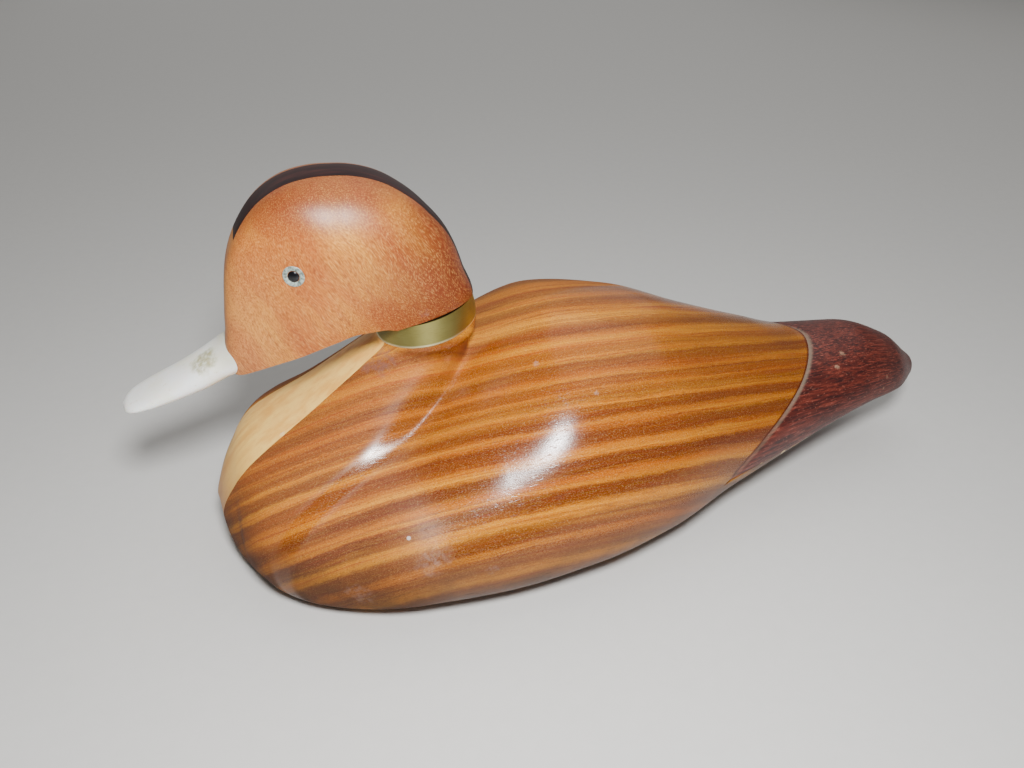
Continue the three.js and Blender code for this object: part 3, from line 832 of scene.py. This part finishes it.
def reddish_wood():
    """Reddish-brown wood with fine slanting dashes, darker at the nape and crown."""
    g = Graph("reddish_wood", IOR=1.5)
    along = g.x * 0.5 + g.z * 0.87
    across = g.x * 0.87 - g.z * 0.5
    swirl = (g.noise(g.here, REDDISH_GRAIN["swirl"]) - 0.5) * 6
    dashes, fine, threads = (
        g.noise((along, g.y, across + swirl), REDDISH_GRAIN[name])
        for name in ("dashes", "fine", "threads"))
    tone = g.noise((along, g.y, across), REDDISH_GRAIN["tone"])
    colour = g.mix(tone.between(0.3, 0.7), REDDISH["light"], REDDISH["deep"])
    front = g.x.between(*FACE["along"]) * (1 - g.z.between(*FACE["height"]))
    colour = g.mix(front * 0.5, colour, REDDISH["front"])
    back = (1 - g.x.between(*NAPE)).most(g.z.between(*CROWN) * 0.8)
    colour = g.mix(back * 0.95, colour, REDDISH["back"])
    colour = g.mix(threads.between(0.45, 0.7) * 0.4, colour, REDDISH["thread"])
    colour = g.mix(dashes.between(0.52, 0.64) * 0.34, colour, REDDISH["dash"])
    colour = g.mix((1 - dashes.between(0.36, 0.5)) * 0.5, colour, REDDISH["dark_dash"])
    colour = g.mix((1 - fine.between(0.34, 0.46)) * 0.4, colour, REDDISH["dark_fine"])
    colour = g.worn(colour, CHEEK_WEAR, REDDISH["scuff"])
    return g.finish(colour, 0.36 + fine * 0.12, dashes + fine, 0.1)


def dark_wood():
    """Nearly black wood with faint streaks along the crown."""
    g = Graph("dark_wood", IOR=1.3)
    streaks = g.noise(g.here, CORE_GRAIN)
    colour = g.mix(streaks.between(0.35, 0.7), CORE["deep"], CORE["light"])
    return g.finish(colour, 0.42 + streaks * 0.1, streaks, 0.05)


def maroon_wood():
    """Maroon wood with raised lengthwise ridges and flecks, and a painted reflection along its
    seam.
    """
    g = Graph("maroon_wood", IOR=1.5)
    closing = CLOSING["full"] / (g.x - CLOSING["x"])
    tail = (g.x, g.y * closing, (g.z - CLOSING["z"]) * closing)
    ridges, streaks, flecks = (
        g.noise(tail, MAROON_GRAIN[name]) for name in ("ridges", "streaks", "flecks"))
    colour = g.mix(streaks.between(0.3, 0.7), MAROON["deep"], MAROON["light"])
    colour = g.mix((1 - ridges.between(0.36, 0.5)) * 0.8, colour, MAROON["furrow"])
    colour = g.mix(ridges.between(0.54, 0.68) * 0.6, colour, MAROON["ridge"])
    colour = g.mix(flecks.between(0.6, 0.72) * 0.4, colour, MAROON["fleck"])
    seam = behind_seam(g) + (ridges - 0.5) * 0.6
    # Painted reflection: a pale grey band along the seam, wider higher up
    cove_reflection = seam.between(*COVE_REFLECTION["behind"]) * (g.z.between(*COVE_REFLECTION["height"]) * 0.35 + 0.25)
    colour = g.mix(cove_reflection, colour, MAROON["cove_reflection"])
    colour = g.worn(colour, TAIL_WEAR, MAROON["mark"])
    return g.finish(colour, 0.5 - ridges * 0.15, ridges, 0.4)


def ring_metal():
    """Brushed, slightly tarnished brass, with a painted highlight along its lower rim and a dark
    joint on top.
    """
    g = Graph("ring_metal", Metallic=1.0)
    brushed, tarnish, specks = (
        g.noise(g.here, BRASS_GRAIN[name]) for name in ("brushed", "tarnish", "specks"))
    colour = g.mix(tarnish.between(0.3, 0.7), BRASS["light"], BRASS["dull"])
    colour = g.mix(brushed.between(0.5, 0.7) * 0.3, colour, BRASS["brushed"])
    above_low = g.z - ring_height(RING_LOW, g.x)
    # Painted highlight along the ring's lower rim
    colour = g.mix(1 - above_low.between(*RING_HIGHLIGHT_AND_JOINT["low"]), colour, BRASS["rim"])
    below_top = ring_height(RING_TOP, g.x) - g.z
    joint = (1 - below_top.between(*RING_HIGHLIGHT_AND_JOINT["top"])) * (1 - specks.between(0.62, 0.68))
    colour = g.mix(joint, colour, BRASS["joint"])
    return g.finish(colour, 0.34 + brushed * 0.16, brushed, 0.08)


def bone():
    """White bone, a little clouded and speckled, stained near the face."""
    g = Graph("bone", IOR=1.5, Subsurface_Weight=0.1, Subsurface_Scale=0.002)
    cloud = g.noise(g.here, BONE_GRAIN["cloud"])
    speckle = g.noise(g.here, BONE_GRAIN["speckle"])
    colour = g.mix(cloud.between(0.35, 0.7), BONE["white"], BONE["cream"])
    root = (1 - g.x.between(*BILL_ROOT["along"])) * g.z.between(*BILL_ROOT["height"])
    colour = g.mix(root * 0.6, colour, BONE["root"])
    stain = g.spot(*BILL_STAIN) * speckle.between(0.2, 0.7)
    colour = g.mix(stain * 0.8, colour, BONE["stain"])
    colour = g.mix(speckle.between(0.64, 0.72) * 0.3, colour, BONE["speckle"])
    return g.finish(colour, 0.34 + cloud * 0.1, cloud, 0.05)


def eye_shell():
    """Greyish shell with small clouds."""
    g = Graph("eye_shell", IOR=1.5)
    cloud = g.noise(g.here, SHELL_GRAIN)
    colour = g.mix(cloud.between(0.35, 0.65), SHELL["dull"], SHELL["light"])
    return g.finish(colour, 0.34 + cloud * 0.1, cloud, 0.05)


def eye_black():
    """Glossy black with a faint bloom."""
    g = Graph("eye_black", IOR=1.5)
    cloud = g.noise(g.here, JET_GRAIN)
    colour = g.mix(cloud.between(0.4, 0.8), JET["deep"], JET["worn"])
    return g.finish(colour, 0.12 + cloud * 0.1, cloud, 0.05)


def floor_paint():
    """Plain pale paint, barely clouded."""
    g = Graph("floor_paint")
    return g.finish(g.mix(g.noise(g.here, FLOOR_GRAIN), FLOOR["dull"], FLOOR["light"]), 0.7)


# Pieces

def carve_body(woods):
    """Body, breast panel, tail and ring, cut from the fine form."""
    rings = form_points()
    first = [TRUNK[0, 0], 0, TRUNK[0, 4]]
    last = [STEM["x"], 0, rings[-1, :, 2].mean()]
    form = skin("form", rings, first, last)
    floor = prism("over_floor", [[-REACH, 0], [REACH, 0], [REACH, REACH], [-REACH, REACH]],
                  -REACH, REACH)
    combine(form, floor, "INTERSECT")
    ring = copy_of(form, "ring")
    combine(ring, half_space(RING_LOW, SEAM), "DIFFERENCE")
    combine(ring, half_space(RING_TOP, -SEAM), "INTERSECT")
    combine(form, half_space(RING_LOW, -SEAM), "INTERSECT")
    panel = copy_of(form, "panel")
    combine(panel, panel_region(-SEAM), "INTERSECT")
    combine(form, panel_region(SEAM), "DIFFERENCE")
    combine(form, tail_region(SEAM), "DIFFERENCE")
    behind = seam_place(rings[..., 1], rings[..., 2]) - rings[..., 0]
    dip = TAIL_COVE["depth"] * np.exp(-np.maximum(behind, 0) / TAIL_COVE["width"])
    dip = dip * (behind > -TAIL_COVE["ahead"])
    dip = dip * ease((rings[..., 2] - TAIL_COVE["low"]) / TAIL_COVE["fade"])
    coved = rings - field_normal(rings) * dip[..., None]
    tail = skin("tail", coved, first, last)
    combine(tail, tail_region(-SEAM), "INTERSECT")
    finish_piece(form, "body", woods["striped"])
    finish_piece(panel, "breast_panel", woods["pale"])
    finish_piece(tail, "tail", woods["maroon"])
    finish_piece(ring, "neck_ring", woods["ring"])


def carve_head(woods):
    """Crown strip and two cheeks, cut from the fine head, and the bill fitted to it."""
    rings = head_points()
    middle = float(cheek_half_width(HEAD["x"], HEAD["z"]))
    ends = [HEAD["x"], middle, HEAD["z"]], [HEAD["x"], -middle, HEAD["z"]]
    head = skin("head", rings, *ends)
    bill_rings = bill_points()
    centre = (BILL[:, 1] + BILL[:, 2]) / 2
    bill = skin("bill", bill_rings, [BILL[0, 0], 0, centre[0]], [BILL[-1, 0], 0, centre[-1]])
    combine(bill, copy_of(head, "head_block"), "DIFFERENCE")
    combine(head, over_throat(), "INTERSECT")
    strip = copy_of(head, "strip")
    combine(strip, slab(SEAM - STRIP_HALF, STRIP_HALF - SEAM, STRIP_END - SEAM), "INTERSECT")
    finish_piece(strip, "crown_strip", woods["dark"])
    finish_piece(bill, "bill", woods["bone"])
    slot = slab(-STRIP_HALF - SEAM, STRIP_HALF + SEAM, STRIP_END + SEAM)
    combine(head, slot, "DIFFERENCE")
    left = copy_of(head, "left")
    combine(left, slab(SEAM, REACH), "INTERSECT")
    finish_piece(left, "cheek_left", woods["reddish"])
    combine(head, slab(-REACH, -SEAM), "INTERSECT")
    finish_piece(head, "cheek_right", woods["reddish"])


def turned(name, profile, side):
    """Profile of radius and height turned about the eye's axis, square to the cheek."""
    profile = np.array(profile)
    turn = np.arange(EYE["sides"]) * 2 * np.pi / EYE["sides"]
    x, z, h = EYE["x"], EYE["z"], EYE["probe"]
    lean = (cheek_surface(x + h, z) - cheek_surface(x - h, z)) / (2 * h)
    rise = (cheek_surface(x, z + h) - cheek_surface(x, z - h)) / (2 * h)
    axis = np.array([-lean, 1.0, -rise])
    axis /= np.linalg.norm(axis)
    forward = np.cross(axis, [0, 0, 1.0])
    forward /= np.linalg.norm(forward)
    up = np.cross(forward, axis)
    base = np.array([x, cheek_surface(x, z), z])
    radius, height = profile[:, 0, None, None], profile[:, 1, None, None]
    spin = np.cos(turn)[None, :, None] * forward + np.sin(turn)[None, :, None] * up
    rings = base + radius * spin + height * axis
    if side < 0:
        rings = (rings * [1, -1, 1])[:, ::-1]
    first, last = rings[0].mean(0), rings[-1].mean(0)
    return skin(name, rings, first, last)


def cheek_surface(x, z):
    """Height of the cheek over the middle plane at a place in side view."""
    dx, dz = x - HEAD["x"], z - HEAD["z"]
    angle = math.degrees(math.atan2(dz, dx))
    power = HEAD["round"] + HEAD["blunt"] * float(ease(math.cos(math.radians(angle))))
    share = math.hypot(dx, dz) / float(head_radius(angle))
    return float(cheek_half_width(x, z)) * (1 - share ** power) ** (1 / power)


def set_eyes(woods):
    """Pale rings with a domed pupil in each, sunk a little way into the cheeks."""
    outer, pupil, proud, core = EYE["radius"], EYE["pupil"], EYE["proud"], EYE["core"]
    rim, bevel, dome = EYE["rim"], EYE["bevel"], EYE["dome"]
    low, seat, shoulder, fit = -EYE["depth"], -EYE["depth"] / 2, proud * 0.3, pupil - SEAM
    bend = np.linspace(0, np.pi / 2, 10)
    ring_profile = [[core, low], [outer, low]]
    ring_profile += [[outer - rim + rim * math.cos(a), proud - rim + rim * math.sin(a)]
                     for a in bend]
    ring_profile += [[pupil + bevel + core, proud], [pupil + core, proud - bevel],
                     [pupil, seat], [core, seat]]
    pupil_profile = [[core, seat], [fit, seat]]
    pupil_profile += [[fit * math.cos(a), shoulder + dome * math.sin(a)] for a in bend[:-1]]
    pupil_profile += [[core, shoulder + dome]]
    for side, hand in ((1, "left"), (-1, "right")):
        ring = turned("eye_ring", ring_profile, side)
        finish_piece(ring, f"eye_ring_{hand}", woods["shell"], EYE_SHARP)
        dome = turned("pupil", pupil_profile, side)
        finish_piece(dome, f"pupil_{hand}", woods["black"], EYE_SHARP)


# Floor, lights and camera

def lay_floor():
    """Plain pale floor."""
    size = 3000
    corners = [[-size, -size, 0], [size, -size, 0], [size, size, 0], [-size, size, 0]]
    floor = new_object("floor", corners, [[0, 1, 2, 3]])
    floor.data.materials.append(floor_paint())


# Lights: name, place, target, size and power. A small key over the camera, then soft panels
# overhead and beyond the duck.
LIGHTS = [
    ("key", (45, 153, 190), (10, 0, 20), 40, 0.95),
    ("panel", (-250, -150, 800), (0, 0, 0), 900, 1.7),
    ("far_fill", (-60, -620, 420), (0, 0, 20), 1200, 1.2),
]
SURROUNDINGS = dict(colour=(1.0, 0.97, 0.93, 1), strength=0.17)


def add_light(name, place, target, size, power):
    """Round area light of a size in millimetres and a power in watts, turned to a target."""
    data = bpy.data.lights.new(name, "AREA")
    data.shape = "DISK"
    data.size = size * MM
    data.energy = power
    lamp = bpy.data.objects.new(name, data)
    lamp.location = Vector(place) * MM
    aim = (Vector(target) - Vector(place)).to_track_quat("-Z", "Y")
    lamp.rotation_euler = aim.to_euler()
    bpy.context.collection.objects.link(lamp)


# The camera looks down at the duck's left side from just ahead of square, close up
VIEW = dict(aim=(14.5, 0, 30), azimuth=15.5, elevation=33.5, distance=190, lens=29.36)


def view_point():
    """Place of the camera in millimetres: back from its aim by the distance, at the angles."""
    a, e = math.radians(VIEW["azimuth"]), math.radians(VIEW["elevation"])
    way = Vector((math.sin(a) * math.cos(e), math.cos(a) * math.cos(e), math.sin(e)))
    return Vector(VIEW["aim"]) + way * VIEW["distance"]


def add_camera():
    """Camera at the view point, turned to its aim."""
    data = bpy.data.cameras.new("camera")
    data.lens = VIEW["lens"]
    data.sensor_width = 36
    data.clip_start = 0.01
    camera = bpy.data.objects.new("camera", data)
    camera.location = view_point() * MM
    aim = Vector(VIEW["aim"]) - view_point()
    camera.rotation_euler = aim.to_track_quat("-Z", "Y").to_euler()
    bpy.context.collection.objects.link(camera)
    bpy.context.scene.camera = camera


def add_lights():
    """The lights, in faint and even pale surroundings."""
    for light in LIGHTS:
        add_light(*light)
    world = bpy.data.worlds.new("surroundings")
    world.use_nodes = True
    background = world.node_tree.nodes["Background"]
    background.inputs["Color"].default_value = SURROUNDINGS["colour"]
    background.inputs["Strength"].default_value = SURROUNDINGS["strength"]
    bpy.context.scene.world = world


def main():
    """The stage first, then the pieces in three groups."""
    add_camera()
    lay_floor()
    add_lights()
    woods = dict(striped=striped_wood(), pale=pale_wood(), reddish=reddish_wood(),
                 dark=dark_wood(), maroon=maroon_wood(), ring=ring_metal(), bone=bone(),
                 shell=eye_shell(), black=eye_black())
    carve_body(woods)
    carve_head(woods)
    set_eyes(woods)


main()
